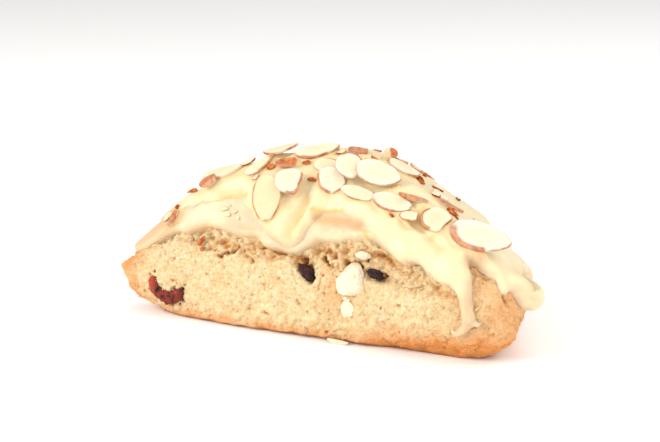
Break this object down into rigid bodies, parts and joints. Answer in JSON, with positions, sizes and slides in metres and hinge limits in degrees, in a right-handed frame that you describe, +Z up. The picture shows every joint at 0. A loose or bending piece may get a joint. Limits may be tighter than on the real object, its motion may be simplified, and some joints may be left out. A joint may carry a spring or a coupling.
{
  "type": "scone",
  "caption": "Wedge-shaped iced scone with coarse crumb, poured icing that runs down its sides, almond slices, dried berries and white chips.",
  "frame": {"origin": "middle of the footprint on the table", "axes": "+X along the long cut side from the tip to the baked rim, -Y out of the long cut side, +Z up"},
  "size_m": [0.1264, 0.0757, 0.0523],
  "materials": {
    "crumb": "dry baked crumb, golden with browned edges",
    "icing": "soft satin icing, cream yellow",
    "almond": "cut nut face with a brown skin edge",
    "berry": "wrinkled dried fruit",
    "white_chip": "waxy white chocolate"
  },
  "bodies": {
    "root": {"almond_01": "almond", "almond_02": "almond", "almond_03": "almond", "almond_04": "almond", "almond_05": "almond", "almond_06": "almond", "almond_07": "almond", "almond_08": "almond", "almond_09": "almond", "almond_10": "almond", "almond_11": "almond", "almond_12": "almond", "almond_13": "almond", "almond_14": "almond", "almond_15": "almond", "almond_16": "almond", "almond_17": "almond", "almond_18": "almond", "almond_19": "almond", "almond_20": "almond", "almond_21": "almond", "almond_22": "almond", "almond_23": "almond", "almond_24": "almond", "almond_25": "almond", "almond_26": "almond", "almond_27": "almond", "almond_28": "almond", "almond_29": "almond", "almond_30": "almond", "almond_31": "almond", "almond_32": "almond", "almond_33": "almond", "almond_34": "almond", "almond_35": "almond", "almond_36": "almond", "berry_back": "berry", "berry_centre": "berry", "berry_right": "berry", "cranberry_front": "berry", "icing": "icing", "scone": "crumb", "white_chip_back": "white_chip", "white_chip_large": "white_chip", "white_chip_small": "white_chip"}
  },
  "joints": []
}
